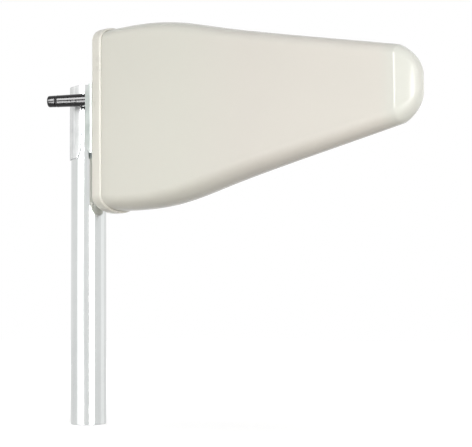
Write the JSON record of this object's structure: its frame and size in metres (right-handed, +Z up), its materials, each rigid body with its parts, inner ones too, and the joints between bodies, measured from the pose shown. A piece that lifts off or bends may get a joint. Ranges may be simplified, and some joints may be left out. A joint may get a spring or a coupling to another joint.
{
  "type": "radome log-periodic antenna",
  "caption": "Directional antenna in a closed cream radome that tapers to a blunt nose, strapped to a bright mast tube, with a booted coaxial outlet at the rear.",
  "frame": {"origin": "middle of the mast tube's foot, on the mast axis", "axes": "+Z up along the mast, +X along the antenna's boresight towards the nose, -Y the side the picture shows"},
  "size_m": [0.4402, 0.0808, 0.4445],
  "materials": {
    "radome": "satin cream moulding",
    "cap": "satin cream moulding",
    "mast": "bright plated tube",
    "sheet_steel": "bright zinc plate",
    "fasteners": "bright zinc plate",
    "array": "mill finish",
    "insulator": "natural",
    "conductor": "bare",
    "jack": "nickel plated",
    "boot": "gloss black moulding",
    "seal": "matt",
    "coax": "jacketed cable"
  },
  "bodies": {
    "mast": {"mast_tube": "mast"},
    "head": {"boom_far": "array", "boom_foot": "array", "boom_near": "array", "boom_screw_far": "fasteners", "boom_screw_near": "fasteners", "boom_spacer_front": "insulator", "boom_spacer_rear": "insulator", "bracket_bolt_lower": "fasteners", "bracket_bolt_upper": "fasteners", "bracket_nut_lower": "fasteners", "bracket_nut_upper": "fasteners", "cap_screw_1": "fasteners", "cap_screw_2": "fasteners", "cap_screw_3": "fasteners", "cap_screw_4": "fasteners", "cap_seal": "seal", "clamp_stud_lower": "fasteners", "clamp_stud_upper": "fasteners", "connector_seat": "boot", "dipole_01_lower": "array", "dipole_01_upper": "array", "dipole_02_lower": "array", "dipole_02_upper": "array", "dipole_03_lower": "array", "dipole_03_upper": "array", "dipole_04_lower": "array", "dipole_04_upper": "array", "dipole_05_lower": "array", "dipole_05_upper": "array", "dipole_06_lower": "array", "dipole_06_upper": "array", "dipole_07_lower": "array", "dipole_07_upper": "array", "dipole_08_lower": "array", "dipole_08_upper": "array", "dipole_09_lower": "array", "dipole_09_upper": "array", "dipole_10_lower": "array", "dipole_10_upper": "array", "feed_coax": "coax", "feed_jumper": "conductor", "jack_barrel": "jack", "jack_dielectric": "insulator", "jack_nut": "jack", "jack_pin": "conductor", "mast_bracket": "sheet_steel", "mast_cradle": "sheet_steel", "nose_support": "insulator", "radome_shell": "radome", "rear_cap": "cap"},
    "strap": {"mast_strap": "sheet_steel", "clamp_washer_upper": "fasteners", "clamp_washer_lower": "fasteners"},
    "nut_upper": {"clamp_nut_upper": "fasteners"},
    "nut_lower": {"clamp_nut_lower": "fasteners"},
    "boot": {"connector_boot": "boot"}
  },
  "joints": [
    {"name": "azimuth", "type": "hinge", "parent": "mast", "child": "head", "pos_m": [0, 0, 0.34], "axis": [0, 0, 1], "continuous": true},
    {"name": "strap_slide", "type": "slide", "parent": "head", "child": "strap", "axis": [-1, 0, 0], "range_m": [0, 0.008]},
    {"name": "nut_upper_turn", "type": "hinge", "parent": "strap", "child": "nut_upper", "pos_m": [0.0077, 0.0275, 0.362], "axis": [-1, 0, 0], "range_deg": [0, 3600]},
    {"name": "nut_lower_turn", "type": "hinge", "parent": "strap", "child": "nut_lower", "pos_m": [0.0077, 0.0275, 0.318], "axis": [-1, 0, 0], "range_deg": [0, 3600]},
    {"name": "boot_pull", "type": "slide", "parent": "head", "child": "boot", "axis": [-0.9272, -0.3746, 0], "range_m": [0, 0.055]}
  ],
  "couplings": [
    {"joint": "nut_upper_turn", "follows": "strap_slide", "rad_per_m": 7854},
    {"joint": "nut_lower_turn", "follows": "strap_slide", "rad_per_m": 7854}
  ]
}
